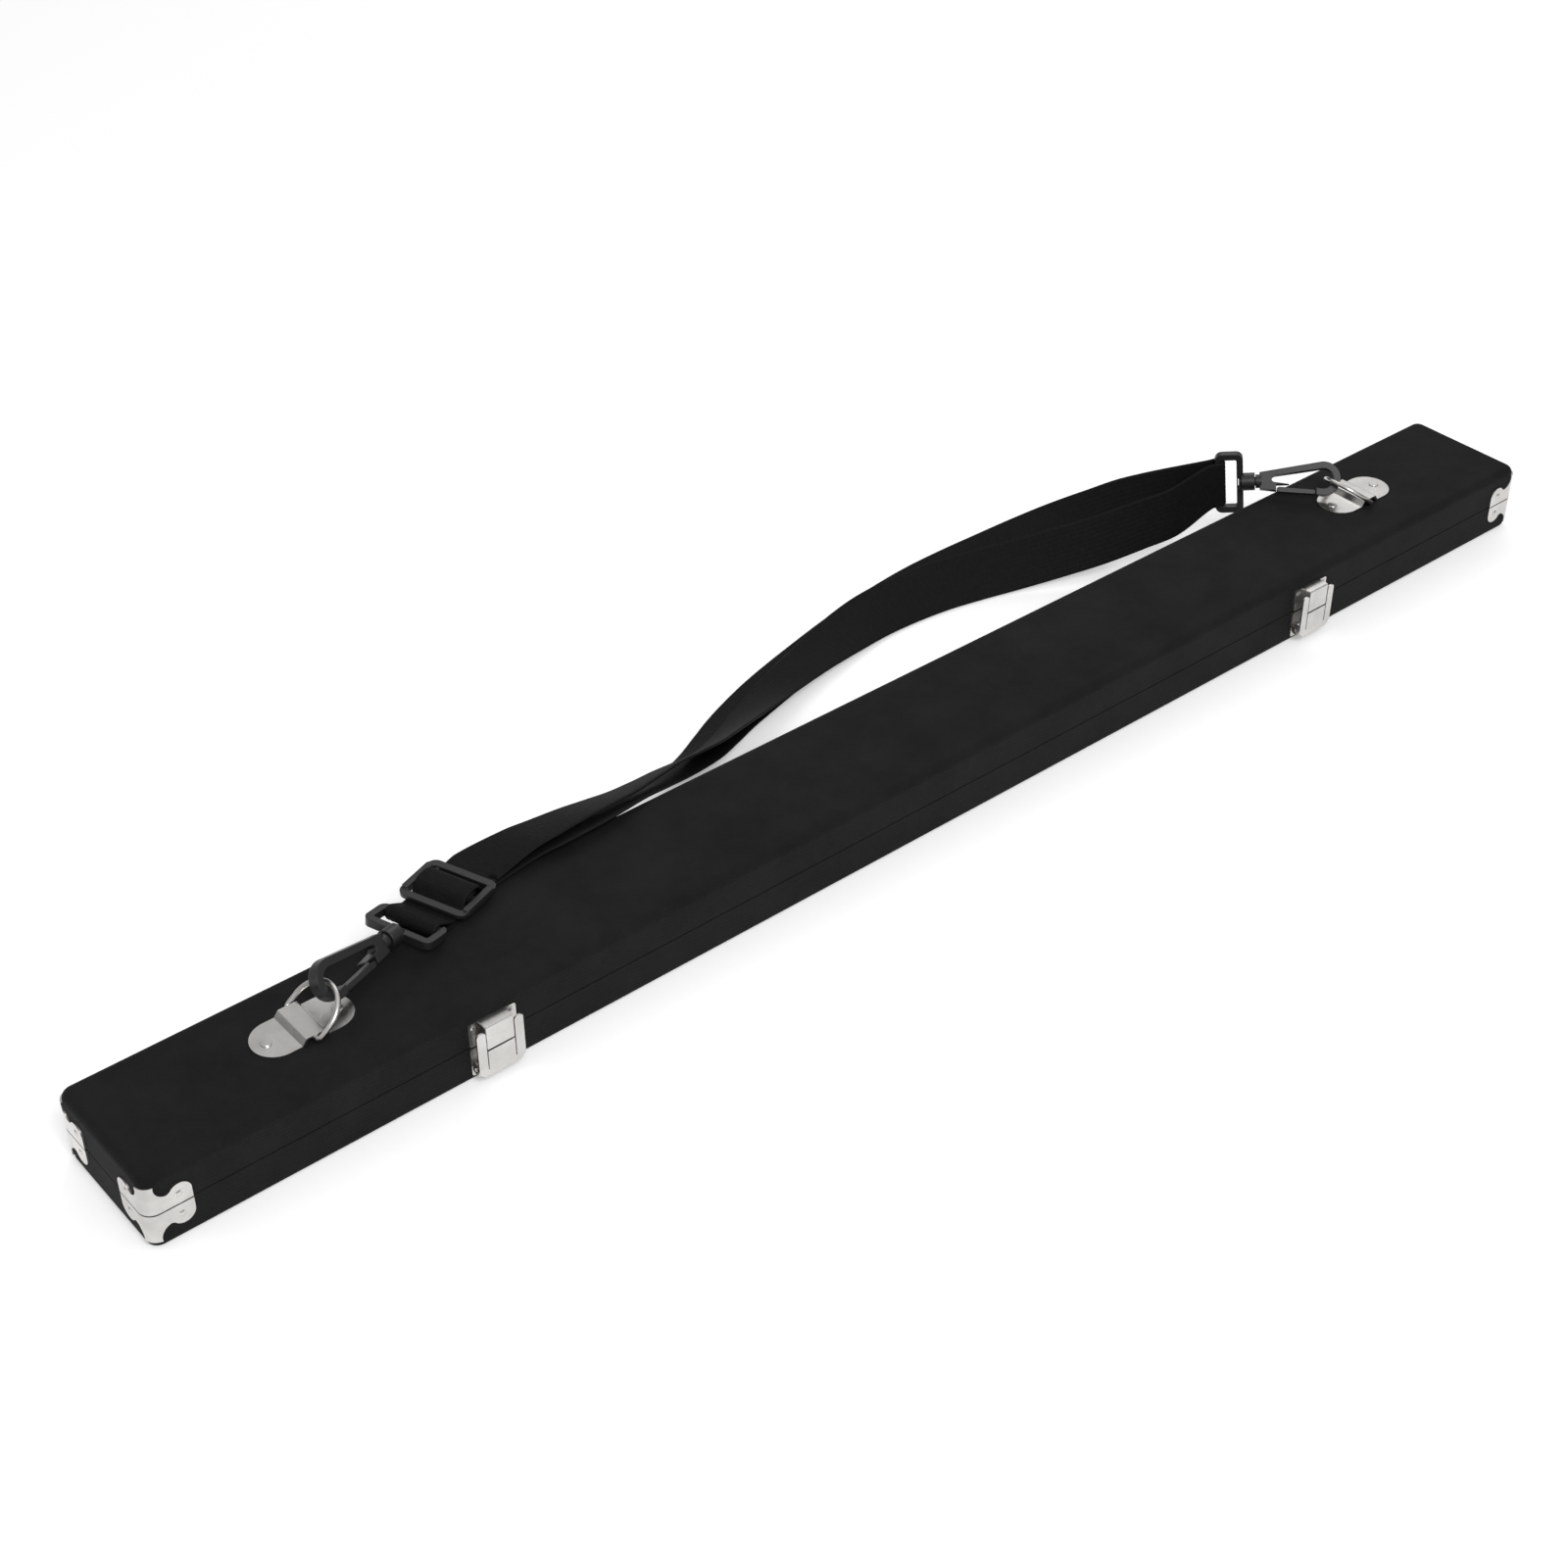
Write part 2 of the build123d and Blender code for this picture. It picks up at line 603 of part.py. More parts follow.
def slider_pass(flat):
    """The running layer: under the outer bars and over the centre one."""
    over = WRAP + SLIDER_T / 2 * sqrt(2) + STRAP_T + STRAP_CLEAR
    path = [
        (18.0, 0.2 - LAYER), (15.0, -LAYER), (11.5, -LAYER), (8.4, -LAYER), (6.2, 0.4), (4.4, over - 0.9),
        (2.2, over), (-2.2, over), (-4.4, over - 0.9), (-6.2, 0.4), (-8.4, -LAYER), (-11.0, -LAYER),
        (-13.2, -LAYER), (-14.4, 0.15 - LAYER),
    ]
    return [(slider_point(s, z), flat) for s, z in path]


def bar_turn(side, leave, out_side, lead):
    """Round a hook's bar: on by out_side, off opposite, lead degrees early."""
    bar, axis = bar_centre(side), bar_way(side)
    radius = LOOP_BAR_R + WRAP
    sign = 1 if axis.cross(out_side).dot(leave) < 0 else -1
    a = radians(lead)
    start = out_side * cos(a) + leave * sin(a)
    return turn_stations(bar, axis, start, radius, sign * (180 + lead), 9)


def strap_stations():
    """The whole webbing as one route, from its sewn end at the slider to its tail at the left hook."""
    a = radians(SLIDER_TURN)
    flat = Vector(-sin(a), cos(a), 0)
    radius = LOOP_BAR_R + WRAP

    bar, axis = bar_centre("right"), bar_way("right")
    leave = square_to(RIGHT_LEAVE, axis)
    out_side = axis.cross(leave)
    out_side = out_side if out_side.Y > 0 else -out_side
    right_turn = [(bar + out_side * radius + leave * 6, axis)]
    right_turn += bar_turn("right", leave, out_side, 0)
    right_turn += [(bar - out_side * radius + leave * 6, axis)]

    bar, axis = bar_centre("left"), bar_way("left")
    back = square_to(Vector(cos(a), sin(a), 0), axis)
    top = back.cross(axis)
    top = top if top.Z > 0 else -top
    left_turn = bar_turn("left", back, top, LEFT_LEAD)
    tail_z = HEIGHT + WRAP
    tail = []
    for step in (4.0, 9.0, 14.0):
        p = bar - top * radius + back * step
        tail.append((Vector(p.X, p.Y, max(tail_z, p.Z - step * 0.12)), axis))

    under, over = run_stations(UNDER_LAYER), run_stations(OVER_LAYER)
    return slider_wrap(flat) + under + right_turn + over[::-1] + slider_pass(flat) + left_turn + tail


def square_to(v, axis):
    """The unit part of a direction that is square to an axis."""
    return (v - axis * v.dot(axis)).normalized()


def ribbon(stations, width, thick):
    """A flat band lofted through its stations."""
    wires = []
    last = len(stations) - 1
    for i, (p, w) in enumerate(stations):
        t = stations[min(i + 1, last)][0] - stations[max(i - 1, 0)][0]
        t = t.normalized()
        across = (w - t * w.dot(t)).normalized() * (width / 2)
        square = t.cross(across).normalized() * (thick / 2)
        corners = [p - across - square, p + across - square, p + across + square, p - across + square]
        wires.append(Wire.make_polygon(corners, close=True))
    return Solid.make_loft(wires, ruled=True)


def slider():
    """The three-bar buckle that sets the strap's length."""
    half_l, half_w = SLIDER_HALF
    outline = RectangleRounded(2 * half_l, 2 * half_w, 4.0)
    slot_l = half_l - SLIDER_BAR
    slots = Pos(slot_l / 2 + 0.5, 0) * RectangleRounded(slot_l - 1.0, 2 * SLOT_HALF, 0.8)
    slots += Pos(-slot_l / 2 - 0.5, 0) * RectangleRounded(slot_l - 1.0, 2 * SLOT_HALF, 0.8)
    body = extrude(outline - slots, SLIDER_T / 2, both=True)
    for sign in (-1, 1):
        rail = Pos(0, sign * (half_w - 1.6)) * RectangleRounded(2 * half_l - 7, 3.0, 1.2)
        body += extrude(rail, RAIL_T / 2, both=True)
    return slider_plane().location * body


def slider_plane():
    """Where the slider lies: x along the strap, z up."""
    a = radians(SLIDER_TURN)
    return Plane(slider_point(0, 0), x_dir=(cos(a), sin(a), 0), z_dir=(0, 0, 1))


def bow_rest(x):
    """A padded block with two round-bottomed notches for the sticks."""
    length, tall = REST_SIZE
    body = block(x - length / 2, x + length / 2, -ROOM_HALF, ROOM_HALF, FLOOR, FLOOR + tall)
    for sign in (-1, 1):
        y, z = sign * STICK_Y, FLOOR + tall
        body -= rod((x - length, y, z), (x + length, y, z), STICK_R)
    return body


def end_block(x0, x1, tall, notch):
    """A padded end block with two pockets; notch is their half width and depth."""
    body = block(x0, x1, -ROOM_HALF, ROOM_HALF, FLOOR, FLOOR + tall)
    width, depth = notch
    for sign in (-1, 1):
        y = sign * STICK_Y
        body -= block(x0 - 1, x1 + 1, y - width, y + width, FLOOR + tall - depth, FLOOR + tall + 1)
    return body


def clip_and_screw(x):
    """The turning button over a rest, and the screw it turns on."""
    length, width, thick = CLIP
    top = FLOOR + REST_SIZE[1]
    bar = Pos(x, 0, top + FIT) * Rot(0, 0, 90) * extrude(SlotOverall(length, width), thick)
    bar -= rod((x, 0, top), (x, 0, top + thick + 1), SCREW_R + PIN_FIT)
    screw = rod((x, 0, top), (x, 0, top + thick + 2 * FIT), SCREW_R)
    screw += Pos(x, 0, top + thick + 2 * FIT) * dome(2.9, 1.0)
    return bar, screw


def save(name, *pieces):
    """Write one node from its pieces."""
    solids = [s for piece in pieces for s in piece.solids()]
    whole = solids[0] if len(solids) == 1 else Compound(children=solids)
    export_step(whole, "parts/" + name + ".step")


def build_all():
    """Write every node."""
    os.makedirs("parts", exist_ok=True)
    for is_lid in (False, True):
        name = "lid" if is_lid else "base"
        cover, shell, lining = tray(is_lid)
        save(name + "_cover", cover)
        save(name + "_shell", shell)
        save(name + "_lining", lining)
        save(name + "_corner_nails", *corner_nails(is_lid))
        save(name + "_latch_rivets", *latch_nails(is_lid))
        save(name + "_hinge_screws", *hinge_screws(is_lid))
        for x_name, x_side in SIDES.items():
            for y_name, y_side in (("front", -1), ("back", 1)):
                save(f"{name}_corner_{y_name}_{x_name}", corner_plate(x_side, y_side, is_lid))
    save("rim_strip", rim_strip())
    for x, name in zip(HINGE_X, ("left", "middle", "right")):
        base_leaf, lid_leaf, pin = hinge(x)
        save("hinge_base_leaf_" + name, base_leaf)
        save("hinge_lid_leaf_" + name, lid_leaf)
        save("hinge_pin_" + name, pin)
    rivets = []
    for side, sign in SIDES.items():
        place = Pos(LATCH_X[side], 0, 0)
        save("latch_keeper_" + side, place * keeper())
        save("latch_plate_" + side, place * latch_base())
        save("latch_lever_" + side, place * lever())
        save("latch_pin_" + side, place * pin_way(LATCH_PIN_R))
        save("strap_plate_" + side, strap_plate(sign * STRAP_PLATE_X))
        save("ring_" + side, ring(side))
        save("hook_" + side, hook_body(side))
        save("hook_gate_" + side, hook_gate(side))
        save("hook_loop_" + side, hook_loop(side))
        save("bow_rest_" + side, bow_rest(REST_X[side]))
        clip, screw = clip_and_screw(REST_X[side])
        save("bow_clip_" + side, clip)
        save("clip_screw_" + side, screw)
        for off in (-RIVET_OFF, RIVET_OFF):
            at = (sign * STRAP_PLATE_X + off, STRAP_PLATE_Y, HEIGHT + STRAP_PLATE[2])
            rivets.append(Pos(*at) * rivet(RIVET_R, RIVET_HEAD))
    save("strap_plate_rivets", *rivets)
    frog = end_block(-ROOM_END, -ROOM_END + FROG_BLOCK[0], FROG_BLOCK[1], FROG_NOTCH)
    tip = end_block(ROOM_END - TIP_BLOCK[0], ROOM_END, TIP_BLOCK[1], TIP_NOTCH)
    save("frog_block", frog)
    save("tip_block", tip)
    save("strap_slider", slider())
    save("strap_webbing", ribbon(strap_stations(), STRAP_W, STRAP_T))


build_all()
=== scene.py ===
import json
import math

import bpy
from mathutils import Matrix, Vector

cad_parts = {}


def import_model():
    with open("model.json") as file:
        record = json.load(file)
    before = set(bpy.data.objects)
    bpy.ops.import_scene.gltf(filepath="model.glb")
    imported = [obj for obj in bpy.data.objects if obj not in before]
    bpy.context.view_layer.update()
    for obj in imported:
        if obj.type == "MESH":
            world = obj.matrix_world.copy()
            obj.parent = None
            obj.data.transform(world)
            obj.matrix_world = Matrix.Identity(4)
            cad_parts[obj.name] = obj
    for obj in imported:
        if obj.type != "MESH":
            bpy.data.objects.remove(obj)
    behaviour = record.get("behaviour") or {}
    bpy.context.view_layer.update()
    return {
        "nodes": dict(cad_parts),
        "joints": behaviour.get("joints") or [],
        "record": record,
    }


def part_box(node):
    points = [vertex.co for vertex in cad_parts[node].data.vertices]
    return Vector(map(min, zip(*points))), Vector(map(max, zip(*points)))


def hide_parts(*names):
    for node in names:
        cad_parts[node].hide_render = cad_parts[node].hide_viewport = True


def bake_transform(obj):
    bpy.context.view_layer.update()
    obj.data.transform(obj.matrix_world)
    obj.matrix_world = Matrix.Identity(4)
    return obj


# A slim violin bow case with nickel latches and a webbing shoulder strap, on a white floor.
# Lengths are in metres and colours are linear, except where a comment says otherwise.

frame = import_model()
NODES = frame["nodes"]

# The photograph's view: angles in degrees, focal length and frame in pixels, sensor in millimetres
AZIMUTH, ELEVATION, ROLL = -39.579, 37.032, -0.341
DISTANCE, AIM = 1.13607, (-0.037383, 0.037016, 0.0)
FOCAL_PX, FRAME_PX, SENSOR = 2591.24, 1600, 36.0

# Lamps as place, side and power in watts, turned to one point
LAMP_AIM = (0, 0.05, 0)
LAMPS = {
    "key": ((-0.6, -1.5, 1.8), 0.8, 30.0),
    "fill": ((1.3, 1.2, 1.6), 1.0, 6.0),
}
# Strength of the surroundings at the horizon and where a direction's height reaches SKY_TOP
SKY_LOW, SKY_HIGH, SKY_TOP = 0.15, 0.75, 0.9
# Floor: half of its side, its grey, and the glow it has where the camera or a reflection sees it
FLOOR_HALF, FLOOR_GREY, FLOOR_LIFT = 6.0, 0.8, 0.30

# The darker and the lighter tint of each finish
TINTS = {
    "case_cloth": ((0.0042, 0.0042, 0.0046), (0.0100, 0.0099, 0.0104)),
    "webbing": ((0.0014, 0.0014, 0.0016), (0.0052, 0.0052, 0.0055)),
    "nickel": ((0.54, 0.53, 0.515), (0.68, 0.67, 0.65)),
    "plywood": ((0.28, 0.16, 0.075), (0.50, 0.33, 0.17)),
    "plush": ((0.060, 0.008, 0.012), (0.105, 0.016, 0.022)),
}
PLASTIC_TINT = (0.0125, 0.0125, 0.0132)

# The wave texture's period at a scale of 1
WAVE_PERIOD = math.pi / 10

# Webbing: half width, half thickness between the ribs, count and height of the ribs, and the
# section's points for each rib
BAND_HALF, BAND_THICK = 0.0125, 0.00055
RIBS, RIB_HIGH, RIB_POINTS = 11, 0.00012, 4
# Share of the thickness that is left at the webbing's edge, and how fast it grows inwards
EDGE_SHARE, EDGE_SLOPE = 0.25, 9
# The webbing's rows: their distance in millimetres, and the most between two points of the route
ROW_GAP, ROWS_MOST = 1.5, 8
# Least distance in millimetres that a slope of the route is taken over
LEAST_GAP = 0.01
# The webbing's own map, which goes from -1 to 1 across it and in metres along it, and how much
# the streaks in its weave are scaled in each direction
BAND_UV = "band"
STREAK_SCALE = (3.0, 850.0, 1.0)

# Millimetres in a metre
MM = 1000

# The values below set the webbing's route, in millimetres as in the model. Behind the case it
# runs in two layers: a station is x, y, z and the lean of its width from upright, in degrees
UNDER_LAYER = [
    (-178, 36.5, 36.1, 100), (-148, 35, 34.5, 115), (-120, 40, 29.5, 126), (-90, 51.7, 19, 123),
    (-60, 67.4, 9.2, 112), (-30, 84, 4.0, 101), (0, 96, 1.9, 92), (35, 105.6, 1.8, 89),
    (75, 112.2, 3.6, 83), (115, 113.5, 5.9, 72), (155, 109, 8.4, 58), (193, 98, 15.5, 42),
    (222, 78, 28, 26),
]
OVER_LAYER = [
    (-178, 38, 39.3, 102), (-148, 40.5, 37.0, 113), (-120, 45, 31.6, 122), (-90, 53, 25.7, 130),
    (-60, 61.5, 17.6, 132), (-30, 75.4, 10.9, 122), (0, 89.4, 6.0, 106), (35, 100, 5.4, 88),
    (75, 105, 8.4, 58), (115, 100.6, 10.8, 41), (155, 88.6, 12.8, 34), (193, 70, 20.5, 28),
    (227, 53, 31, 14),
]
# Thickness of the webbing with its clearance, and what its middle keeps from a bar's face
STRAP_T, STRAP_CLEAR = 1.3, 0.35
WRAP = STRAP_CLEAR + STRAP_T / 2
# The lid's top
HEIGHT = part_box("lid_cover")[1].z * MM
# From a hook's mouth to the bar that holds the webbing, and that bar's radius
HOOK_REACH, HOOK_BAR_R = 51.0, 1.8
# The right hook's bar: direction in which the webbing leaves it, and the straight stretch there
RIGHT_LEAVE, RIGHT_STRAIGHT = Vector((-0.90, 0.43, 0)), 6
# The left hook's bar: how early the webbing comes on to it, the stations of the tail along the
# lid, and how steeply the tail comes down
LEFT_LEAD, TAIL_STEPS, TAIL_FALL = math.radians(18.0), (4.0, 9.0, 14.0), 0.12
# The slider: its centre bar's distance from the left hook's bar, its turn, its thickness and its
# height over the webbing's lowest place on the lid
SLIDER_GAP, SLIDER_TURN, SLIDER_T, SLIDER_RISE = 22.5, math.radians(20.0), 2.0, 3.7
SLIDER_Z = HEIGHT + WRAP + SLIDER_RISE
# Distance from the slider's middle to the webbing's, on its faces and round its square bar
LAYER = SLIDER_T / 2 + WRAP
SLIDER_WRAP = SLIDER_T / 2 * math.sqrt(2) + WRAP
# Steps of a turn round the slider's centre bar and round a hook's bar
SLIDER_STEPS, HOOK_STEPS = 6, 9


# Shader nodes


def put(node, values):
    """Sets a node's own values, by the socket's name or number."""
    for socket, value in values.items():
        node.inputs[socket].default_value = value


def feed(tree, node, sources):
    """Feeds a node's sockets from other nodes."""
    for socket, source in sources.items():
        tree.links.new(source, node.inputs[socket])


def add(tree, kind, values, sources):
    """A new shader node with its own values and its sources."""
    node = tree.nodes.new("ShaderNode" + kind)
    put(node, values)
    feed(tree, node, sources)
    return node


def maths(tree, operation, values, sources):
    """The result of one operation on two numbers."""
    node = add(tree, "Math", values, sources)
    node.operation = operation
    return node.outputs[0]


def material(name):
    """A new material with its node tree, shader and object coordinates."""
    made = bpy.data.materials.new(name)
    made.use_nodes = True
    tree = made.node_tree
    coords = add(tree, "TexCoord", {}, {})
    return made, tree, tree.nodes["Principled BSDF"], coords.outputs["Object"]


def noise(tree, coords, scale, detail, rough):
    """A noise texture's value."""
    values = {"Scale": scale, "Detail": detail, "Roughness": rough}
    return add(tree, "TexNoise", values, {"Vector": coords}).outputs["Fac"]


def tinted(tree, value, low, high, tints):
    """A colour between two tints, as a value goes from low to high."""
    node = add(tree, "ValToRGB", {}, {"Fac": value})
    first, second = node.color_ramp.elements
    first.position, second.position = low, high
    first.color, second.color = [(*tint, 1) for tint in tints]
    return node.outputs["Color"]


def bump(tree, value, distance, strength, normal=None):
    """A bump from a value, on top of another normal if there is one."""
    sources = {"Height": value}
    if normal is not None:
        sources["Normal"] = normal
    values = {"Distance": distance, "Strength": strength}
    return add(tree, "Bump", values, sources).outputs["Normal"]


def mapped(tree, coords, values):
    """Coordinates that are turned or scaled first."""
    return add(tree, "Mapping", values, {"Vector": coords}).outputs["Vector"]


def threads(tree, coords, pitch, turn):
    """Fine parallel threads with a pitch, along a turned direction."""
    values = {
        "Scale": WAVE_PERIOD / pitch,
        "Distortion": 1.2,
        "Detail": 2.0,
        "Detail Scale": 0.6,
    }
    turned = mapped(tree, coords, {"Rotation": turn})
    return add(tree, "TexWave", values, {"Vector": turned}).outputs["Fac"]


# Materials


def cloth(name, pitch, deep):
    """A matt woven cloth with faint mottling and a fine thread grain."""
    made, tree, shader, coords = material(name)
    mottle = noise(tree, coords, scale=38.0, detail=6.0, rough=0.7)
    grain = noise(tree, coords, scale=900.0, detail=3.0, rough=0.7)
    warp = threads(tree, coords, pitch, turn=(0, 0, 0.02))
    weft = threads(tree, coords, pitch, turn=(0.5, 0.6, 1.5))
    crossed = maths(tree, "MULTIPLY", {}, {0: warp, 1: weft})
    grainy = bump(tree, grain, distance=deep, strength=0.6)
    feed(tree, shader, {
        "Base Color": tinted(tree, mottle, 0.3, 0.7, TINTS[name]),
        "Normal": bump(tree, crossed, distance=deep, strength=0.5, normal=grainy),
    })
    put(shader, {
        "Roughness": 0.82,
        "Specular IOR Level": 0.16,
        "Sheen Weight": 0.02,
        "Sheen Roughness": 0.5,
    })
    return made


def band_weave(name):
    """Webbing: thread streaks across it, laid out by its own map, and a fine fuzz."""
    made, tree, shader, coords = material(name)
    own = add(tree, "UVMap", {}, {})
    own.uv_map = BAND_UV
    stretched = mapped(tree, own.outputs["UV"], {"Scale": STREAK_SCALE})
    streak = noise(tree, stretched, scale=1.0, detail=3.0, rough=0.6)
    fuzz = noise(tree, coords, scale=1400.0, detail=2.0, rough=0.7)
    fuzzy = bump(tree, fuzz, distance=0.00012, strength=0.5)
    feed(tree, shader, {
        "Base Color": tinted(tree, streak, 0.3, 0.75, TINTS[name]),
        "Normal": bump(tree, streak, distance=0.00035, strength=0.8, normal=fuzzy),
    })
    put(shader, {"Roughness": 0.75, "Specular IOR Level": 0.18})
    return made


def metal(name, smoothest, roughest):
    """Bright nickel with faint haze, smears and dents."""
    made, tree, shader, coords = material(name)
    haze = noise(tree, coords, scale=70.0, detail=4.0, rough=0.6)
    smear = noise(tree, coords, scale=160.0, detail=5.0, rough=0.65)
    dents = noise(tree, coords, scale=260.0, detail=1.0, rough=0.4)
    spread = add(tree, "MapRange", {"To Min": smoothest, "To Max": roughest}, {"Value": smear})
    feed(tree, shader, {
        "Base Color": tinted(tree, haze, 0.32, 0.68, TINTS[name]),
        "Roughness": spread.outputs["Result"],
        "Normal": bump(tree, dents, distance=0.00002, strength=0.15),
    })
    put(shader, {"Metallic": 1.0})
    return made


def plastic(name):
    """Moulded plastic with softened edges and a light grain."""
    made, tree, shader, coords = material(name)
    edges = add(tree, "Bevel", {"Radius": 0.0006}, {})
    edges.samples = 8
    grain = noise(tree, coords, scale=700.0, detail=3.0, rough=0.6)
    soft = edges.outputs["Normal"]
    feed(tree, shader, {"Normal": bump(tree, grain, distance=0.00004, strength=0.5, normal=soft)})
    put(shader, {"Base Color": (*PLASTIC_TINT, 1), "Roughness": 0.40})
    return made


def wood(name):
    """Thin plywood with long grain."""
    made, tree, shader, coords = material(name)
    lengthened = mapped(tree, coords, {"Scale": (0.06, 1, 1)})
    grain = noise(tree, lengthened, scale=420.0, detail=5.0, rough=0.6)
    feed(tree, shader, {
        "Base Color": tinted(tree, grain, 0.35, 0.7, TINTS[name]),
        "Normal": bump(tree, grain, distance=0.0001, strength=0.4),
    })
    put(shader, {"Roughness": 0.6})
    return made


def plush(name):
    """Short dark red pile."""
    made, tree, shader, coords = material(name)
    nap = noise(tree, coords, scale=60.0, detail=4.0, rough=0.6)
    pile = noise(tree, coords, scale=1500.0, detail=2.0, rough=0.7)
    feed(tree, shader, {
        "Base Color": tinted(tree, nap, 0.3, 0.7, TINTS[name]),
        "Normal": bump(tree, pile, distance=0.0003, strength=0.7),
    })
    put(shader, {"Roughness": 0.95, "Sheen Weight": 0.4})
    return made


FINISH = {
    "case_cloth": cloth("case_cloth", pitch=0.0009, deep=0.00016),
    "webbing": band_weave("webbing"),
    "nickel": metal("nickel", smoothest=0.22, roughest=0.36),
    "black_plastic": plastic("black_plastic"),
    "plywood": wood("plywood"),
    "plush": plush("plush"),
}

for part in frame["record"]["subparts"]:
    mesh = NODES[part["node"]].data
    mesh.materials.clear()
    mesh.materials.append(FINISH[part["material_slot"]])


# The webbing


def placed(name, data):
    """A new object in the scene."""
    made = bpy.data.objects.new(name, data)
    bpy.context.scene.collection.objects.link(made)
    return made


def gap_between(first, second):
    """The distance between two points of the route, in millimetres."""
    return (Vector(second[:3]) - Vector(first[:3])).length


def square_to(direction, axis):
    """The unit part of a direction that is square to an axis."""
    return (direction - axis * direction.dot(axis)).normalized()


def hook_bar(side):
    """The bar of a hook's eye: its middle, and its direction, which is level on the left hook."""
    swivel = next(j for j in frame["joints"] if j["name"] == f"hook_{side}_swivel")
    way = Vector(swivel["axis"])
    raw = Vector((-way.y, way.x, 0)) if side == "left" else Vector((0, 0, 1))
    return Vector(swivel["pos_m"]) * MM + way * HOOK_REACH, square_to(raw, way)


def slider_stations(path):
    """Stations along the slider: a pair is the distance from its centre bar and the height."""
    bar, _ = hook_bar("left")
    ahead = Vector((math.cos(SLIDER_TURN), math.sin(SLIDER_TURN), 0))
    flat = Vector((-ahead.y, ahead.x, 0))
    start = Vector((bar.x, bar.y, SLIDER_Z)) + ahead * SLIDER_GAP
    return [(start + ahead * along + Vector((0, 0, up)), flat) for along, up in path]


def turn_stations(centre, axis, start, radius, sweep, steps):
    """Stations round a bar: start is the direction from the bar to the first one."""
    other = axis.cross(start)
    angles = [sweep * i / steps for i in range(steps + 1)]
    return [
        (centre + (start * math.cos(a) + other * math.sin(a)) * radius, axis) for a in angles
    ]


def hook_turn(bar, axis, leave, out_side, lead):
    """Round a hook's bar: on by out_side, off opposite, with the first station lead early."""
    sign = 1 if axis.cross(out_side).dot(leave) < 0 else -1
    start = out_side * math.cos(lead) + leave * math.sin(lead)
    sweep = sign * (math.pi + lead)
    return turn_stations(bar, axis, start, HOOK_BAR_R + WRAP, sweep, HOOK_STEPS)


def free_run(layer):
    """Stations of a free run, with one more halfway between each two on a smooth curve."""
    rows, last = [], len(layer) - 1
    for i in range(last):
        p, q, r, s = layer[max(i - 1, 0)], layer[i], layer[i + 1], layer[min(i + 2, last)]
        rows += [q, [(9 * (c + d) - b - e) / 16 for b, c, d, e in zip(p, q, r, s)]]
    rows.append(layer[last])
    leans = [math.radians(row[3]) for row in rows]
    return [
        (Vector(row[:3]), Vector((0, math.sin(a), math.cos(a)))) for row, a in zip(rows, leans)
    ]


def sewn_end():
    """The sewn end over the slider's centre bar, round it and away underneath."""
    on = slider_stations([(1.8, SLIDER_WRAP)])
    centre, flat = slider_stations([(0, 0)])[0]
    up = Vector((0, 0, 1))
    turn = turn_stations(centre, flat, up, SLIDER_WRAP, -math.pi, SLIDER_STEPS)
    return on + turn + slider_stations([(4.0, -3.0), (7.5, -3.7), (11.5, -3.7), (16.0, -3.6)])


def through_slider():
    """The running layer: under the outer bars and over the centre one."""
    over = SLIDER_WRAP + STRAP_T + STRAP_CLEAR
    return slider_stations([
        (18.0, 0.2 - LAYER), (15.0, -LAYER), (11.5, -LAYER), (8.4, -LAYER), (6.2, 0.4),
        (4.4, over - 0.9), (2.2, over), (-2.2, over), (-4.4, over - 0.9), (-6.2, 0.4),
        (-8.4, -LAYER), (-11.0, -LAYER), (-13.2, -LAYER), (-14.4, 0.15 - LAYER),
    ])


def right_turn():
    """Round the right hook's bar, with a straight stretch on each side."""
    bar, axis = hook_bar("right")
    leave = square_to(RIGHT_LEAVE, axis)
    out_side = axis.cross(leave)
    if out_side.y < 0:
        out_side = -out_side
    aside, along = out_side * (HOOK_BAR_R + WRAP), leave * RIGHT_STRAIGHT
    turn = hook_turn(bar, axis, leave, out_side, 0)
    return [(bar + aside + along, axis)] + turn + [(bar - aside + along, axis)]


def left_turn():
    """Round the left hook's bar, and the tail that lies on the lid under the rest."""
    bar, axis = hook_bar("left")
    back = square_to(Vector((math.cos(SLIDER_TURN), math.sin(SLIDER_TURN), 0)), axis)
    top = back.cross(axis)
    if top.z < 0:
        top = -top
    stations = hook_turn(bar, axis, back, top, LEFT_LEAD)
    for step in TAIL_STEPS:
        point = bar - top * (HOOK_BAR_R + WRAP) + back * step
        point.z = max(HEIGHT + WRAP, point.z - step * TAIL_FALL)
        stations.append((point, axis))
    return stations


def route():
    """Rows of the whole webbing from its sewn end to its tail: a point and its width's direction."""
    out = sewn_end() + free_run(UNDER_LAYER) + right_turn()
    back = free_run(OVER_LAYER)[::-1] + through_slider() + left_turn()
    return [(*point, *width) for point, width in out + back]


def smooth_rows(rows):
    """Rows on a smooth curve through the given ones."""
    out = []
    last = len(rows) - 1
    for i in range(last):
        a, b, c, d = rows[max(i - 1, 0)], rows[i], rows[i + 1], rows[min(i + 2, last)]
        gap = gap_between(b, c)
        before, after = max(gap_between(a, b), LEAST_GAP), max(gap_between(c, d), LEAST_GAP)
        count = max(1, min(ROWS_MOST, round(gap / ROW_GAP)))
        for k in range(count):
            t = k / count
            row = []
            for p, q, r, s in zip(a, b, c, d):
                # A cubic from q to r, with slopes m and n at its ends
                m = (r - p) / (gap + before) * gap
                n = (s - q) / (gap + after) * gap
                row.append(
                    (2 * t**3 - 3 * t**2 + 1) * q + (t**3 - 2 * t**2 + t) * m
                    + (3 * t**2 - 2 * t**3) * r + (t**3 - t**2) * n
                )
            out.append(row)
    out.append(list(rows[last]))
    return out


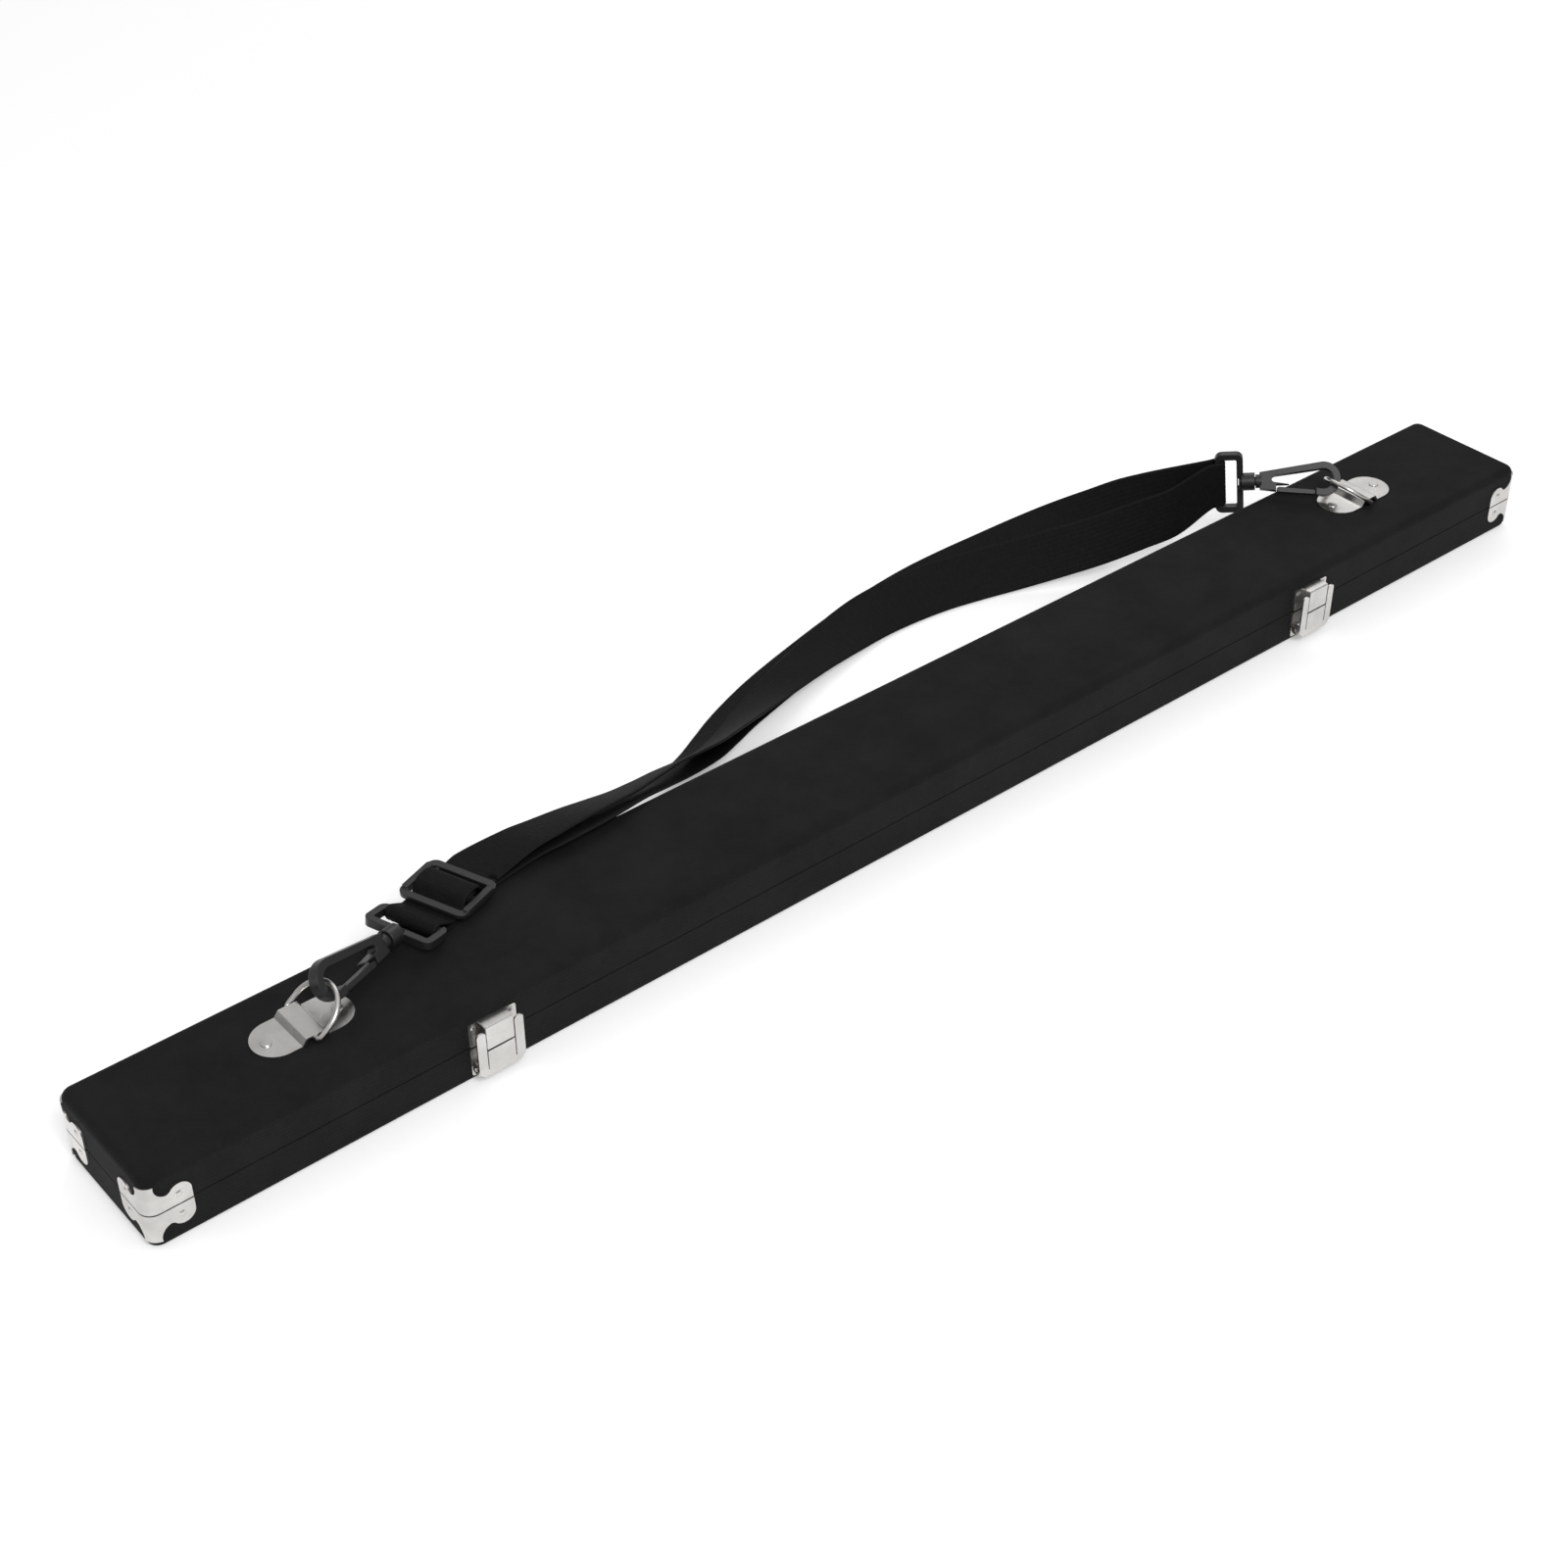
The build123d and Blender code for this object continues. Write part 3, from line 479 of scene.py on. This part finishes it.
def section():
    """Points round the webbing's section as (across, square), with ribs on both sides."""
    count = RIBS * RIB_POINTS
    top = []
    for i in range(count + 1):
        u = -1 + 2 * i / count
        edge = min(1.0, (1 - abs(u)) * EDGE_SLOPE + EDGE_SHARE)
        rib = RIB_HIGH * (0.5 - 0.5 * math.cos(2 * math.pi * i / RIB_POINTS))
        top.append((u * BAND_HALF, (BAND_THICK + rib) * edge))
    return top + [(x, -y) for x, y in reversed(top)]


def webbing():
    """The whole strap as one ribbed band with its own map."""
    rows = smooth_rows(route())
    ring = section()
    n, last = len(ring), len(rows) - 1
    points, faces, along = [], [], [0.0]
    for p, q in zip(rows, rows[1:]):
        along.append(along[-1] + gap_between(p, q) / MM)
    for i, row in enumerate(rows):
        centre, width = Vector(row[:3]) / MM, Vector(row[3:])
        ahead = Vector(rows[min(i + 1, last)][:3]) - Vector(rows[max(i - 1, 0)][:3])
        ahead.normalize()
        across = (width - ahead * width.dot(ahead)).normalized()
        square = ahead.cross(across)
        points += [centre + across * x + square * y for x, y in ring]
    for i in range(last):
        for k in range(n):
            a, b = i * n + k, i * n + (k + 1) % n
            faces.append((a, b, b + n, a + n))
    faces.append(tuple(range(n - 1, -1, -1)))
    faces.append(tuple(last * n + k for k in range(n)))
    mesh = bpy.data.meshes.new("strap_band")
    mesh.from_pydata(points, [], faces)
    mesh.update()
    uvs = mesh.uv_layers.new(name=BAND_UV).data
    for face in mesh.polygons:
        face.use_smooth = True
        for loop in face.loop_indices:
            row, k = divmod(mesh.loops[loop].vertex_index, n)
            uvs[loop].uv = (ring[k][0] / BAND_HALF, along[row])
    mesh.materials.append(FINISH["webbing"])
    return placed("strap_band", mesh)


band = webbing()
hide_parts("strap_webbing")
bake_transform(band)


# Floor, light and camera


def floor():
    """A white floor that keeps the object's shadow and reads as white to the camera."""
    mesh = bpy.data.meshes.new("floor")
    sides = [(-1, -1), (1, -1), (1, 1), (-1, 1)]
    corners = [(x * FLOOR_HALF, y * FLOOR_HALF, 0) for x, y in sides]
    mesh.from_pydata(corners, [], [(0, 1, 2, 3)])
    made, tree, shader, _ = material("floor")
    put(shader, {
        "Base Color": (FLOOR_GREY, FLOOR_GREY, FLOOR_GREY, 1),
        "Roughness": 0.9,
        "Specular IOR Level": 0.0,
    })
    path = add(tree, "LightPath", {}, {}).outputs
    seen = maths(tree, "MAXIMUM", {}, {0: path["Is Camera Ray"], 1: path["Is Glossy Ray"]})
    glow = maths(tree, "MULTIPLY", {1: FLOOR_LIFT}, {0: seen})
    lift = add(tree, "Emission", {}, {"Strength": glow})
    both = add(tree, "AddShader", {}, {0: shader.outputs[0], 1: lift.outputs[0]})
    feed(tree, tree.nodes["Material Output"], {"Surface": both.outputs[0]})
    mesh.materials.append(made)
    plane = placed("floor", mesh)


def world():
    """Even studio light, seen as white."""
    studio = bpy.data.worlds.new("studio")
    bpy.context.scene.world = studio
    studio.use_nodes = True
    tree = studio.node_tree
    path = add(tree, "LightPath", {}, {})
    coords = add(tree, "TexCoord", {}, {})
    split = add(tree, "SeparateXYZ", {}, {0: coords.outputs["Generated"]})
    values = {"From Min": 0.0, "From Max": SKY_TOP, "To Min": SKY_LOW, "To Max": SKY_HIGH}
    sky = add(tree, "MapRange", values, {"Value": split.outputs["Z"]})
    sources = {"Factor": path.outputs["Is Camera Ray"], "A": sky.outputs["Result"]}
    mix = add(tree, "Mix", {"B": 1.0}, sources)
    back = tree.nodes["Background"]
    put(back, {"Color": (1, 1, 1, 1)})
    feed(tree, back, {"Strength": mix.outputs["Result"]})


def lamp(name, place, side, power):
    """A soft square lamp."""
    data = bpy.data.lights.new(name, "AREA")
    data.shape, data.size, data.energy = "SQUARE", side, power
    made = placed(name, data)
    made.location = place
    made.rotation_mode = "QUATERNION"
    made.rotation_quaternion = (Vector(LAMP_AIM) - Vector(place)).to_track_quat("-Z", "Y")


def camera():
    """The photograph's camera."""
    a, e, r = (math.radians(x) for x in (AZIMUTH, ELEVATION, ROLL))
    back = Vector((math.sin(a) * math.cos(e), -math.cos(a) * math.cos(e), math.sin(e)))
    right = Vector((0, 0, 1)).cross(back).normalized()
    up = back.cross(right)
    x = right * math.cos(r) + up * math.sin(r)
    y = back.cross(x)
    data = bpy.data.cameras.new("camera")
    data.sensor_width = SENSOR
    data.lens = FOCAL_PX / FRAME_PX * SENSOR
    made = placed("camera", data)
    turn = Matrix((x, y, back)).transposed().to_4x4()
    made.matrix_world = Matrix.Translation(Vector(AIM) + back * DISTANCE) @ turn
    bpy.context.scene.camera = made


floor()
world()
for name, (place, side, power) in LAMPS.items():
    lamp(name, place, side, power)
camera()
bpy.context.scene.view_settings.view_transform = "Standard"
